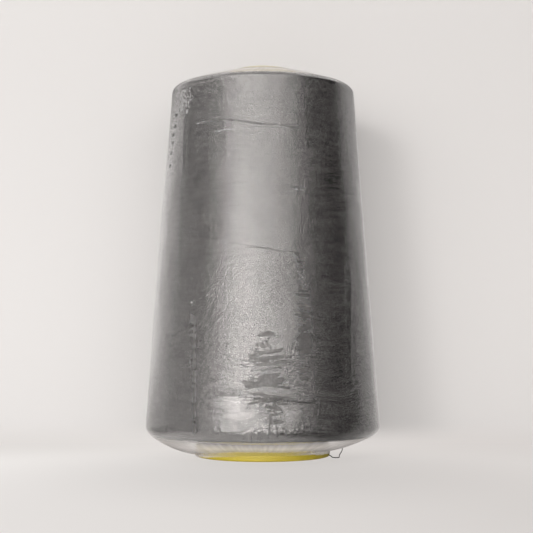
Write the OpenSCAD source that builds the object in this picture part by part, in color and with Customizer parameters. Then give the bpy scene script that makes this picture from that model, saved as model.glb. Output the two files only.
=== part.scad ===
// Cone of overlock sewing thread, standing on its base ring, in a shrunk-on clear film.
// +Z runs up the cone's axis to the nose, and the origin is at the centre of the base plane.
// All sizes are in millimetres.

/* [Plastic cone] */
// Height of the bare cone
cone_h = 125; // [115:1:140]
// Outer radius of the ring at the foot
ring_r = 21.6; // [21:0.1:24]
// Height of that ring
ring_h = 4; // [3:0.1:4.5]
// Outer radius of the cone just above the ring
foot_r = 20.6; // [20:0.1:20.8]
// Outer radius of the nose
nose_r = 12.2; // [11.8:0.1:13]
// Radius of the rounded lip of the nose
nose_round = 1.5; // [1:0.1:2]
// Thickness of the moulded wall
wall = 1.3; // [1:0.1:1.6]

/* [Spindle collar] */
// Radius of the hole that the thread stand's spindle comes up through
spindle_r = 8; // [5:0.1:8.5]
// Length of the collar, from the nose down
collar_l = 12; // [8:0.5:20]
// Thickness of the collar's wall
collar_t = 1.2; // [0.8:0.1:1.4]
// Gussets between the collar and the cone
gussets = 6; // [3:1:8]

/* [Thread package] */
// Height of the package's lower edge above the base plane
package_z = 6.9; // [6.5:0.1:12]
// Length of the package along the axis
package_l = 112.2; // [90:0.1:113]
// Radius of the package at its lower edge
package_foot_r = 37.6; // [30:0.1:45]
// Radius of the package at its upper edge
package_head_r = 29.8; // [22:0.1:30]
// Rounding of the lower edge
foot_round = 2.8; // [1:0.1:4]
// Rounding of the upper edge
head_round = 1.6; // [1:0.1:4]

/* [Shrink film] */
// Thickness of the film
film_t = 0.2; // [0.1:0.05:0.4]
// Height at which the film's hem ends on the ring
hem_z = 0.9; // [0.4:0.1:1.2]
// Height at which the film leaves the ring for the package
leave_z = 2.1; // [1.9:0.1:2.6]
// Radius of the mouth that the film leaves open round the nose hole
mouth_r = 9.8; // [9.4:0.1:10.2]

/* [Thread tail] */
// Diameter of the thread
thread_d = 0.3; // [0.3:0.05:0.4]
// Width of the slot in the ring that locks the tail
slot_w = 0.9; // [0.6:0.1:1.5]
// Bearing of the slot round the ring, from +X
slot_bearing = -12; // [-30:1:30]

/* [Hidden] */
$fn = 96;

// Points along a rounded corner.
corner_steps = 7;
// Small roundings of the moulding.
edge_round = 0.5;
mouth_round = 0.8;
// How far the bottom of the tail groove lies under the cone's slope.
groove_depth = 0.4;
groove_h = 1.4;
// Rounding of the film where it turns off the ring.
hem_turn = 1;
// Depth of the gussets' root inside the walls that they tie.
root = 0.4;
gusset_t = 0.9;

slope_z = ring_h + groove_h;
cone_angle = atan((foot_r - nose_r) / (cone_h - slope_z));
web_z = cone_h - wall - nose_round / 2;
package_top = package_z + package_l;
foot_centre = [package_foot_r - foot_round, package_z + foot_round];
head_centre = [package_head_r - head_round, package_top - head_round];
nose_centre = [nose_r - nose_round, cone_h - nose_round];

// Outer radius of the plastic cone at height z.
function cone_r(z) = foot_r - (z - slope_z) * tan(cone_angle);

// Inner radius of its wall at height z.
function bore_r(z) = cone_r(z) - wall / cos(cone_angle);

// Points of an arc round [r, z] between two angles.
function arc(centre, radius, from, to, steps = corner_steps) = [
    for (i = [0 : steps])
        centre + radius * [
            cos(from + (to - from) * i / steps),
            sin(from + (to - from) * i / steps)
        ]
];

// A roller is [r, z, radius]. A line pulled taut round rollers touches each one on its right, and
// one of negative radius on its left. This is the outward normal of the run from roller a to b.
function run_normal(a, b) =
    atan2(b[1] - a[1], b[0] - a[0]) - 90
    + asin((a[2] - b[2]) / norm([b[0] - a[0], b[1] - a[1]]));

// The taut line round a list of rollers, moved outward by grow. The end rollers have no radius.
function taut(rollers, grow = 0) = [
    for (i = [0 : len(rollers) - 1])
        let (
            last = len(rollers) - 1,
            centre = [rollers[i][0], rollers[i][1]],
            before = run_normal(rollers[max(i - 1, 0)], rollers[max(i, 1)]),
            after = run_normal(rollers[min(i, last - 1)], rollers[min(i + 1, last)]),
            steps = i == 0 || i == last ? 0 : corner_steps
        )
        for (p = steps == 0
            ? [centre + grow * [cos(i == 0 ? after : before), sin(i == 0 ? after : before)]]
            : arc(centre, rollers[i][2] + grow, before, after))
            p
];

function reversed(list) = [for (i = [len(list) - 1 : -1 : 0]) list[i]];

function roller(centre, radius) = [centre[0], centre[1], radius];

// The package's end faces stand square to the cone's slope.
package_foot_in = [cone_r(package_z), package_z - (foot_centre[0] - cone_r(package_z)) * tan(cone_angle)];
package_head_in = [cone_r(package_top), package_top - (head_centre[0] - cone_r(package_top)) * tan(cone_angle)];

// ---- Plastic cone ----

module cone_shell() {
    rotate_extrude()
        polygon(concat(
            [[bore_r(0) + edge_round, 0]],
            arc([ring_r - edge_round, edge_round], edge_round, -90, 0),
            arc([ring_r - edge_round, ring_h - edge_round], edge_round, 0, 90),
            [
                [foot_r - groove_depth, ring_h],
                [foot_r - groove_depth, slope_z - groove_depth],
                [foot_r, slope_z]
            ],
            arc(nose_centre, nose_round, cone_angle, 90),
            arc([spindle_r + mouth_round, cone_h - mouth_round], mouth_round, 90, 180),
            [
                [spindle_r, cone_h - collar_l],
                [spindle_r + collar_t, cone_h - collar_l],
                [spindle_r + collar_t, web_z],
                [bore_r(web_z), web_z],
                [bore_r(2), 2]
            ]
        ));
}

// One triangular web that ties the collar to the inside of the cone.
module gusset() {
    rotate([90, 0, 0])
        linear_extrude(height = gusset_t, center = true)
            polygon([
                [spindle_r + collar_t - root, cone_h - collar_l + 1],
                [bore_r(cone_h - collar_l - 4) + root, cone_h - collar_l - 4],
                [bore_r(web_z) + root, web_z + root],
                [spindle_r + collar_t - root, web_z + root]
            ]);
}

module cone_core() {
    color("gold")
        difference() {
            union() {
                cone_shell();
                for (i = [0 : gussets - 1])
                    rotate([0, 0, 360 * i / gussets])
                        gusset();
            }
            // The slot that locks the tail of the thread in the ring.
            rotate([0, 0, slot_bearing])
                translate([foot_r - groove_depth, -slot_w / 2, -1])
                    cube([ring_r, slot_w, ring_h + 2]);
        }
}

// ---- Wound thread ----

module thread_package() {
    color("dimgray")
        rotate_extrude()
            polygon(taut([
                roller(package_foot_in, 0),
                roller(foot_centre, foot_round),
                roller(head_centre, head_round),
                roller(package_head_in, 0)
            ]));
}

// The first turns of the thread, wound in the groove just above the ring.
module tail_turns() {
    turns_r = foot_r - groove_depth;
    color("dimgray")
        rotate_extrude()
            polygon(concat(
                [[turns_r, ring_h]],
                arc([turns_r + 0.2, ring_h + 0.5], 0.5, -90, 90),
                [[turns_r, ring_h + 1]]
            ));
}

// ---- Free end of the thread ----

// Route of the tail: from the turns down the slot, onto the surface that the cone stands on, out in
// a small hook, and along the foot of the cone to its cut end. Points are [x, y, z].
floor_z = 0.17;
tail_route = [
    [20.15, -4.25, 4],
    [20.25, -4.3, 2.8],
    [20.4, -4.35, 1.7],
    [20.8, -4.45, 0.8],
    [21.5, -4.8, 0.35],
    [21.9, -5.8, 0.22],
    [21.9, -7.3, floor_z],
    [22.2, -8.5, floor_z],
    [22.8, -9.2, floor_z],
    [23.6, -9.1, floor_z],
    [24.1, -8.2, floor_z],
    [24.3, -6.2, floor_z],
    [24.6, -2, floor_z],
    [25.3, 4, floor_z],
    [26.2, 11, floor_z],
    [26.9, 18, floor_z],
    [27.2, 21.7, floor_z]
];
tail_sides = 8;
// Fewest rings on one run of the route, and their spacing on a long one.
run_rings = 3;
ring_gap = 1.2;

// A point on the smooth curve through four route points, at t from b to c.
function smooth(a, b, c, d, t) =
    b + 0.5 * t * ((c - a) + t * ((2 * a - 5 * b + 4 * c - d) + t * (3 * (b - c) + d - a)));

function smooth_route(p) = [
    for (i = [0 : len(p) - 2])
        let (steps = max(run_rings, round(norm(p[i + 1] - p[i]) / ring_gap)))
        for (j = [0 : steps - 1])
            smooth(p[max(i - 1, 0)], p[i], p[i + 1], p[min(i + 2, len(p) - 1)], j / steps),
    p[len(p) - 1]
];

function unit(v) = v / norm(v);

// A round tube along a list of centre points, as one closed polyhedron.
module tube(path, radius, sides) {
    last = len(path) - 1;
    level = unit([1, 0, 1]);
    rings = [
        for (i = [0 : last])
            let (
                along = unit(path[min(i + 1, last)] - path[max(i - 1, 0)]),
                across = unit(cross(along, level)),
                over = cross(along, across)
            )
            for (k = [0 : sides - 1])
                path[i] + radius * (cos(360 * k / sides) * across + sin(360 * k / sides) * over)
    ];
    walls = [
        for (i = [0 : last - 1])
            for (k = [0 : sides - 1])
                let (n = (k + 1) % sides)
                [i * sides + k, i * sides + n, (i + 1) * sides + n, (i + 1) * sides + k]
    ];
    polyhedron(
        points = rings,
        faces = concat(
            [[for (k = [sides - 1 : -1 : 0]) k]],
            walls,
            [[for (k = [0 : sides - 1]) last * sides + k]]
        )
    );
}

module thread_tail() {
    color("dimgray")
        tube(smooth_route(tail_route), thread_d / 2, tail_sides);
}

// ---- Shrink film ----

// The rollers that the film is pulled over, from the hem on the ring to the mouth at the nose.
film_rollers = [
    [ring_r, hem_z, 0],
    [ring_r + hem_turn, leave_z, -hem_turn],
    roller(foot_centre, foot_round),
    roller(head_centre, head_round),
    roller(nose_centre, nose_round),
    [mouth_r, cone_h, 0]
];

module shrink_film() {
    color("whitesmoke", 0.4)
        rotate_extrude()
            polygon(concat(taut(film_rollers), reversed(taut(film_rollers, film_t))));
}

cone_core();
thread_package();
tail_turns();
thread_tail();
shrink_film();
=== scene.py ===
"""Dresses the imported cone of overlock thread: plastic, wound thread, loose tail and shrink film.

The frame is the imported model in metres. It stands on its base ring, +Z runs up the axis and -Y is
the front. Bearings are degrees round the axis, from the front towards +X. Sizes are written in
millimetres and made into metres by MM.
"""

import logging
import math
from collections.abc import Sequence
from dataclasses import dataclass
from enum import Enum
from functools import reduce

import bpy
import numpy as np
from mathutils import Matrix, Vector


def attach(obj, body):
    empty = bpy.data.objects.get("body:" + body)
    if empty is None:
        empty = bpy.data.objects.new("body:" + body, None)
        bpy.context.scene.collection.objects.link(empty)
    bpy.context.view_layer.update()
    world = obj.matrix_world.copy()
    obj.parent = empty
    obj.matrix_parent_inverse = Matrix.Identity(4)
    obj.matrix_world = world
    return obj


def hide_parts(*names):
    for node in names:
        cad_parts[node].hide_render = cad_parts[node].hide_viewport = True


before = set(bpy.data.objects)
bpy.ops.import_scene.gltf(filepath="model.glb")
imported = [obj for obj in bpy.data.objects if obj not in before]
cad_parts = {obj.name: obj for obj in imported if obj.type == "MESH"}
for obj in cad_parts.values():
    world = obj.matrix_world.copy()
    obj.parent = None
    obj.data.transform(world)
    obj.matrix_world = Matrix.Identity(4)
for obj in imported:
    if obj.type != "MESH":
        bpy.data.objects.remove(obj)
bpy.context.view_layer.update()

log = logging.getLogger("thread_cone")

MM = 0.001
BODY = "root"

# How much higher a millimetre of radius counts in the winding, on the ends of the package.
END_CLIMB = 0.75

Colour = tuple[float, float, float]
Spot = tuple[float, float]  # a bearing in degrees and a height in millimetres
Socket = bpy.types.NodeSocket
Value = float | Socket


# ---- Lines, tubes and sleeves ----


@dataclass(frozen=True)
class Roller:
    """A round corner, in millimetres, that a line is pulled over. Below zero it bends it back."""

    r: float
    z: float
    radius: float = 0.0


@dataclass(frozen=True)
class TautLine:
    """A line pulled taut round rollers of radius and height. Its end rollers have no radius."""

    rollers: tuple[Roller, ...]
    corner_steps: int = 8

    @staticmethod
    def _normal(a: Roller, b: Roller) -> float:
        """Angle of the outward normal of the run from roller a to roller b.

        Args:
            a: the roller that the run leaves.
            b: the roller that it reaches.

        Returns:
            The angle in radians, from the radius towards the height.
        """
        run = math.hypot(b.r - a.r, b.z - a.z)
        lean = math.asin((a.radius - b.radius) / run)
        return math.atan2(b.z - a.z, b.r - a.r) - math.pi / 2 + lean

    def points(self, gap: float) -> np.ndarray:
        """The line as points.

        Args:
            gap: the longest distance between two neighbours, in millimetres.

        Returns:
            An array of (radius, height) rows in millimetres.
        """
        last = len(self.rollers) - 1
        found = []
        for i, roller in enumerate(self.rollers):
            centre = np.array([roller.r, roller.z])
            if i in (0, last):
                found.append(centre)
                continue
            before = self._normal(self.rollers[i - 1], roller)
            after = self._normal(roller, self.rollers[i + 1])
            for angle in np.linspace(before, after, self.corner_steps + 1):
                found.append(centre + roller.radius * np.array([math.cos(angle), math.sin(angle)]))
        return refined(np.array(found), gap)


def refined(line: np.ndarray, gap: float) -> np.ndarray:
    """Adds points to a line where two neighbours are far apart.

    Args:
        line: the points, one a row.
        gap: the longest distance to leave.

    Returns:
        The line with the added points.
    """
    rows = [line[:1]]
    for a, b in zip(line[:-1], line[1:]):
        steps = max(1, math.ceil(np.linalg.norm(b - a) / gap))
        rows.append(a + (b - a) * np.linspace(0, 1, steps + 1)[1:, None])
    return np.concatenate(rows)


def outward(line: np.ndarray) -> np.ndarray:
    """The unit normals of a line, to the right of its direction.

    Args:
        line: (radius, height) rows.

    Returns:
        One normal for each row.
    """
    along = np.gradient(line, axis=0)
    normal = np.stack([along[:, 1], -along[:, 0]], axis=1)
    return normal / np.linalg.norm(normal, axis=1, keepdims=True)


def run_length(line: np.ndarray) -> np.ndarray:
    """Length along a line up to each of its points."""
    return np.concatenate([[0.0], np.cumsum(np.linalg.norm(np.diff(line, axis=0), axis=1))])


def bell(distance: np.ndarray, width: float) -> np.ndarray:
    """A smooth hump of height 1 that has faded at twice its width."""
    return np.exp(-((distance / width) ** 2))


def eased(share: np.ndarray) -> np.ndarray:
    """Clips a share to between 0 and 1, and smooths it at both ends.

    Args:
        share: the share.

    Returns:
        The eased share.
    """
    share = np.clip(share, 0, 1)
    return share * share * (3 - 2 * share)


def wrapped(degrees: np.ndarray) -> np.ndarray:
    """The same bearings from -180 to 180."""
    return (degrees + 180) % 360 - 180


def new_piece(name: str, points: np.ndarray, faces: Sequence[Sequence[int]]) -> bpy.types.Object:
    """Makes a smooth-shaded mesh object.

    Args:
        name: the piece's name.
        points: its vertices in metres, one a row.
        faces: the vertex numbers of each face.

    Returns:
        The object, linked to the scene.
    """
    mesh = bpy.data.meshes.new(name)
    mesh.from_pydata(points.tolist(), [], [list(map(int, face)) for face in faces])
    mesh.polygons.foreach_set("use_smooth", [True] * len(mesh.polygons))
    mesh.update()
    piece = bpy.data.objects.new(name, mesh)
    bpy.context.scene.collection.objects.link(piece)
    return piece


def ring_faces(rows: int, sides: int, closed: bool) -> list[list[int]]:
    """Quads between neighbouring rings of vertices.

    Args:
        rows: how many rings there are.
        sides: how many vertices each ring has.
        closed: whether the last ring joins the first, as on a torus.

    Returns:
        The faces. Where it isn't closed, two end caps are among them.
    """
    faces = [
        [
            i * sides + k,
            i * sides + (k + 1) % sides,
            (i + 1) % rows * sides + (k + 1) % sides,
            (i + 1) % rows * sides + k,
        ]
        for i in range(rows if closed else rows - 1)
        for k in range(sides)
    ]
    if not closed:
        faces.append(list(range(sides))[::-1])
        faces.append([(rows - 1) * sides + k for k in range(sides)])
    return faces


def revolved(
    name: str, radius: np.ndarray, height: np.ndarray, bearings: np.ndarray
) -> bpy.types.Object:
    """Makes a closed ring-shaped skin from one closed outline for each bearing.

    Args:
        name: the piece's name.
        radius: radii in millimetres, a row for each outline point and a column for each bearing.
        height: heights in millimetres, in the same layout.
        bearings: the bearings of the columns, in radians.

    Returns:
        The new piece.
    """
    x = radius * np.sin(bearings)
    y = -radius * np.cos(bearings)
    points = np.stack([x, y, np.broadcast_to(height, x.shape)], axis=-1).reshape(-1, 3) * MM
    return new_piece(name, points, ring_faces(*radius.shape, closed=True))


def smooth_route(route: Sequence[Sequence[float]], gap: float, fewest: int) -> np.ndarray:
    """A smooth curve through given points.

    Args:
        route: the points, three numbers each.
        gap: the usual distance between two points of the result.
        fewest: the fewest points on one run of the route.

    Returns:
        The curve's points, one a row.
    """
    p = np.array(route, float)
    found = []
    for i in range(len(p) - 1):
        a, b, c, d = p[max(i - 1, 0)], p[i], p[i + 1], p[min(i + 2, len(p) - 1)]
        steps = max(fewest, round(np.linalg.norm(c - b) / gap))
        for t in np.arange(steps) / steps:
            bend = 2 * a - 5 * b + 4 * c - d + t * (3 * (b - c) + d - a)
            found.append(b + 0.5 * t * (c - a + t * bend))
    return np.array([*found, p[-1]])


def strand(
    name: str, path: np.ndarray, thickness: float, sides: int, lay: float
) -> bpy.types.Object:
    """Makes a two-ply thread along a path.

    Args:
        name: the piece's name.
        path: the centre line in metres, one point a row.
        thickness: the thread's diameter in metres.
        sides: vertices round the thread.
        lay: length of one full twist of the two plies, in metres.

    Returns:
        The new piece, a closed tube.
    """
    along = np.gradient(path, axis=0)
    along /= np.linalg.norm(along, axis=1, keepdims=True)
    across = np.cross(along[0], [0.3, 0.2, 1.0])
    turn = 2 * math.pi * run_length(path) / lay
    angle = 2 * math.pi * np.arange(sides) / sides
    rings = []
    for centre, ahead, twist in zip(path, along, turn):
        across = across - ahead * (across @ ahead)
        across /= np.linalg.norm(across)
        over = np.cross(ahead, across)
        reach = thickness / 2 * (0.92 + 0.12 * np.cos(2 * (angle - twist)))[:, None]
        way = np.cos(angle)[:, None] * across + np.sin(angle)[:, None] * over
        rings.append(centre + reach * way)
    return new_piece(name, np.concatenate(rings), ring_faces(len(path), sides, closed=False))


# ---- Shader nodes ----


class Wiring:
    """Short calls for building a node tree. Each value is a number, a colour or another socket."""

    def __init__(self, tree: bpy.types.NodeTree) -> None:
        """Starts on an empty tree.

        Args:
            tree: the node tree to fill.
        """
        self.tree = tree
        tree.nodes.clear()

    def node(
        self, kind: str, inputs: dict[str | int, object] | None = None, **settings: object
    ) -> bpy.types.Node:
        """Adds a node.

        Args:
            kind: its type, without the leading "ShaderNode".
            inputs: what goes into its sockets, by name or number.
            **settings: the node's own properties.

        Returns:
            The node.
        """
        made = self.tree.nodes.new("ShaderNode" + kind)
        for name, value in settings.items():
            setattr(made, name, value)
        for name, value in (inputs or {}).items():
            if isinstance(value, bpy.types.NodeSocket):
                self.tree.links.new(value, made.inputs[name])
            else:
                made.inputs[name].default_value = value
        return made

    def finish(self, shader: Socket, kind: str = "Material") -> None:
        """Joins a shader to the tree's output."""
        self.tree.links.new(shader, self.node("Output" + kind).inputs["Surface"])

    def math(self, operation: str, *values: Value) -> Socket:
        """The result of a Math node."""
        return self.node("Math", dict(enumerate(values)), operation=operation).outputs[0]

    def add(self, *values: Value) -> Socket:
        """The sum of two or more values."""
        return reduce(lambda a, b: self.math("ADD", a, b), values)

    def mul(self, *values: Value) -> Socket:
        """The product of two or more values."""
        return reduce(lambda a, b: self.math("MULTIPLY", a, b), values)

    def sub(self, a: Value, b: Value) -> Socket:
        """The first value less the second."""
        return self.math("SUBTRACT", a, b)

    def length(self, a: Socket, b: Socket) -> Socket:
        """The length of a line with these two parts at right angles."""
        return self.math("SQRT", self.add(self.mul(a, a), self.mul(b, b)))

    def bearing(self, x: Socket, y: Socket) -> Socket:
        """The bearing of a place round the axis, in radians."""
        return self.math("ARCTAN2", x, self.mul(y, -1.0))

    def xyz(self, vector: Socket) -> tuple[Socket, ...]:
        """The three parts of a vector."""
        return tuple(self.node("SeparateXYZ", {0: vector}).outputs)

    def on_piece(self) -> Socket:
        """The place on the piece."""
        return self.node("TexCoord").outputs["Object"]

    def in_room(self) -> tuple[Socket, ...]:
        """The three parts of the place in the room."""
        return self.xyz(self.node("NewGeometry").outputs["Position"])

    def painted(self, name: str) -> Socket:
        """A share that is stored on the piece's points."""
        return self.node("Attribute", attribute_name=name).outputs["Fac"]

    def direct(self) -> Socket:
        """1 for what the camera sees directly, and otherwise 0."""
        return self.node("LightPath").outputs["Is Camera Ray"]

    def mirrored(self) -> Socket:
        """1 for what is seen in a gloss or through the film, and otherwise 0."""
        path = self.node("LightPath").outputs
        return self.math("MAXIMUM", path["Is Glossy Ray"], path["Is Transmission Ray"])

    def blend(self, share: Value, a: Colour | Socket, b: Colour | Socket) -> Socket:
        """A colour between two others, a where the share is 0 and b where it is 1."""
        a, b = ((*c, 1.0) if isinstance(c, tuple) else c for c in (a, b))
        return self.node("Mix", {0: share, 6: a, 7: b}, data_type="RGBA").outputs[2]

    def between(self, share: Socket, a: Value, b: Value) -> Socket:
        """A value between two others, a where the share is 0 and b where it is 1."""
        return self.node("Mix", {0: share, 2: a, 3: b}).outputs[0]

    def over(self, share: Socket, under: Socket, upper: Socket) -> Socket:
        """One shader over another, by the share of the upper one."""
        return self.node("MixShader", {0: share, 1: under, 2: upper}).outputs[0]

    def glow(self, colour: Colour | Socket, strength: Value) -> Socket:
        """A shader that glows."""
        colour = (*colour, 1.0) if isinstance(colour, tuple) else colour
        return self.node("Emission", {"Color": colour, "Strength": strength}).outputs[0]

    def span(
        self, value: Socket, low: float, high: float, to_low: Value, to_high: Value
    ) -> Socket:
        """Maps a value from one span to another, clamped and eased.

        Args:
            value: the value.
            low: where it starts to change.
            high: where it stops.
            to_low: the result at low.
            to_high: the result at high.

        Returns:
            The output socket.
        """
        ends = {0: value, 1: low, 2: high, 3: to_low, 4: to_high}
        return self.node("MapRange", ends, interpolation_type="SMOOTHSTEP").outputs[0]

    def fade(self, value: Socket, zero: float, one: float) -> Socket:
        """Maps a value to between 0 and 1, clamped and eased.

        Args:
            value: the value.
            zero: where the result is 0.
            one: where it is 1, above or below zero.

        Returns:
            The output socket.
        """
        if zero < one:
            return self.span(value, zero, one, 0.0, 1.0)
        return self.span(value, one, zero, 1.0, 0.0)

    def sector(self, bearing: Socket, zero: float, one: float) -> Socket:
        """As fade, for a bearing in radians whose ends are given in degrees."""
        return self.fade(bearing, math.radians(zero), math.radians(one))

    def noise(self, where: Socket, scale: Value, detail: float) -> Socket:
        """A Noise texture's value, about 0.5 on average."""
        inputs = {"Vector": where, "Scale": scale, "Detail": detail}
        return self.node("TexNoise", inputs).outputs[0]

    def bump(self, height: Socket, depth: float) -> Socket:
        """A normal from a height, where a height of 1 stands for the depth in metres."""
        return self.node("Bump", {"Height": height, "Distance": depth}).outputs[0]


def new_group(
    name: str, inputs: dict[str, float], outputs: Sequence[str]
) -> tuple[Wiring, bpy.types.Node]:
    """Starts a shader node group whose sockets are all numbers.

    Args:
        name: the group's name.
        inputs: its inputs, with their usual values.
        outputs: its outputs.

    Returns:
        The group's wiring and its input node.
    """
    tree = bpy.data.node_groups.new(name, "ShaderNodeTree")
    for socket, value in inputs.items():
        made = tree.interface.new_socket(socket, in_out="INPUT", socket_type="NodeSocketFloat")
        made.default_value = value
    for socket in outputs:
        tree.interface.new_socket(socket, in_out="OUTPUT", socket_type="NodeSocketFloat")
    wiring = Wiring(tree)
    return wiring, tree.nodes.new("NodeGroupInput")


def close_group(wiring: Wiring, **outputs: Socket) -> bpy.types.NodeTree:
    """Joins a group's results to its outputs.

    Args:
        wiring: the group's wiring.
        **outputs: the socket for each output, by name.

    Returns:
        The finished group.
    """
    end = wiring.tree.nodes.new("NodeGroupOutput")
    for name, socket in outputs.items():
        wiring.tree.links.new(socket, end.inputs[name])
    return wiring.tree


def winding_group(pitch: float) -> bpy.types.NodeTree:
    """Cross-wound thread as a pattern in two crossing directions.

    The thread climbs by one pitch in a turn. The group's Strand input is how many strands lie in a
    radian of lead, and Length how fast one strand changes along itself.

    Args:
        pitch: the climb of one turn, in metres.

    Returns:
        The group, with outputs Height and Tone, which darkens where the thread lies deep, as
        painted shade.
    """
    w, given = new_group("winding", {"Strand": 24.0, "Length": 600.0}, ("Height", "Tone"))
    place = w.on_piece()
    x, y, z = w.xyz(place)
    climb = w.sub(z, w.mul(w.length(x, y), END_CLIMB))
    lead = w.mul(climb, 2 * math.pi / pitch)
    bearing = w.bearing(x, y)
    wide = given.outputs["Strand"]
    ways = []
    for sign in (1.0, -1.0):
        turn = w.add(bearing, w.mul(lead, sign))
        parts = {
            0: w.mul(w.math("COSINE", turn), wide),
            1: w.mul(w.math("SINE", turn), wide),
            2: w.mul(z, w.mul(given.outputs["Length"], sign)),
        }
        ways.append(w.noise(w.node("CombineXYZ", parts).outputs[0], 1.0, 2.5))
    upper = w.fade(w.noise(place, 95.0, 1.0), 0.4, 0.6)
    height = w.between(upper, *ways)
    return close_group(w, Height=height, Tone=w.fade(height, 0.3, 0.7))


def fibre_group() -> bpy.types.NodeTree:
    """The fine fibres of a spun thread.

    Returns:
        The group, with an input Fineness and the outputs Height and Tone, which follows the height
        in part, as painted shade, and is otherwise uneven.
    """
    w, given = new_group("fibre", {"Fineness": 9000.0}, ("Height", "Tone"))
    place = w.on_piece()
    fine = w.noise(place, given.outputs["Fineness"], 3.0)
    broad = w.noise(place, 700.0, 2.0)
    return close_group(w, Height=fine, Tone=w.add(w.mul(fine, 0.6), w.mul(broad, 0.4)))


def gather_group() -> bpy.types.NodeTree:
    """Fine pleats that run in and out along the film where it has gathered.

    Returns:
        The group, with an input Pleats, how many there are in a radian, and the outputs Height and
        Haze, which is 1 on average.
    """
    w, given = new_group("gather", {"Pleats": 12.0}, ("Height", "Haze"))
    x, y, z = w.xyz(w.on_piece())
    flat = w.node("CombineXYZ", {0: x, 1: y}).outputs[0]
    way = w.node("VectorMath", {0: flat}, operation="NORMALIZE").outputs[0]
    pleats = {0: way, "Scale": given.outputs["Pleats"]}
    wide = w.node("VectorMath", pleats, operation="SCALE").outputs[0]
    drift = w.node("CombineXYZ", {2: w.mul(z, 150.0)}).outputs[0]
    where = w.node("VectorMath", {0: wide, 1: drift}, operation="ADD").outputs[0]
    pleat = w.noise(where, 1.0, 3.0)
    return close_group(w, Height=pleat, Haze=w.span(pleat, 0.3, 0.7, 0.88, 1.12))


def paper_group() -> bpy.types.NodeTree:
    """The paper sweep's tone: painted light, brightest low down at the left, and painted shade.

    Returns:
        The group, with outputs Fall, 0 at the left and 1 at the right, Level, the strength, and
        Bend, 1 where the floor meets the backdrop.
    """
    w, _ = new_group("paper_painted_light", {}, ("Fall", "Level", "Bend"))
    x, y, z = w.in_room()
    near = w.length(x, w.add(y, 0.045))
    # Painted light and shade: brighter low down, darker beside the cone and further in front.
    up = w.span(z, -0.03, 0.18, 1.2, 0.68)
    painted_shade_by_cone = w.span(near, 0.01, 0.09, 0.81, 1.0)
    painted_shade_in_front = w.span(y, -0.13, -0.02, 0.88, 1.0)
    bend = w.mul(w.fade(y, -0.025, 0.037), w.fade(z, 0.009, 0.0))
    level = w.mul(up, painted_shade_by_cone, painted_shade_in_front)
    return close_group(w, Fall=w.fade(x, -0.09, 0.09), Level=level, Bend=bend)


@dataclass(frozen=True)
class Groups:
    """The shader groups that several finishes share."""

    winding: bpy.types.NodeTree
    fibre: bpy.types.NodeTree
    gather: bpy.types.NodeTree
    paper: bpy.types.NodeTree

    @classmethod
    def built(cls, pitch: float) -> "Groups":
        """Builds every group once, for a thread that climbs by pitch metres in a turn."""
        return cls(winding_group(pitch), fibre_group(), gather_group(), paper_group())


def placed(w: Wiring, tree: bpy.types.NodeTree, **inputs: float) -> bpy.types.NodeOutputs:
    """Places a group in a material.

    Args:
        w: the material's wiring.
        tree: the group.
        **inputs: its values, by name.

    Returns:
        The group's output sockets.
    """
    made = w.node("Group", node_tree=tree)
    for name, value in inputs.items():
        made.inputs[name].default_value = value
    return made.outputs


def surface(name: str) -> tuple[bpy.types.Material, Wiring]:
    """Makes a material with an empty node tree.

    Args:
        name: the material's name.

    Returns:
        The material and its wiring.
    """
    material = bpy.data.materials.new(name)
    material.use_nodes = True
    return material, Wiring(material.node_tree)


def coated(
    material: bpy.types.Material, w: Wiring, inputs: dict[str, object]
) -> bpy.types.Material:
    """Gives a material its Principled shader.

    Args:
        material: the material.
        w: its wiring.
        inputs: what goes into the shader, by name.

    Returns:
        The same material.
    """
    w.finish(w.node("BsdfPrincipled", inputs).outputs[0])
    return material


# ---- Finishes ----

# The bundles of thread, as the winding group's inputs.
BUNDLES = {"Strand": 4.5, "Length": 120.0}


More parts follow.
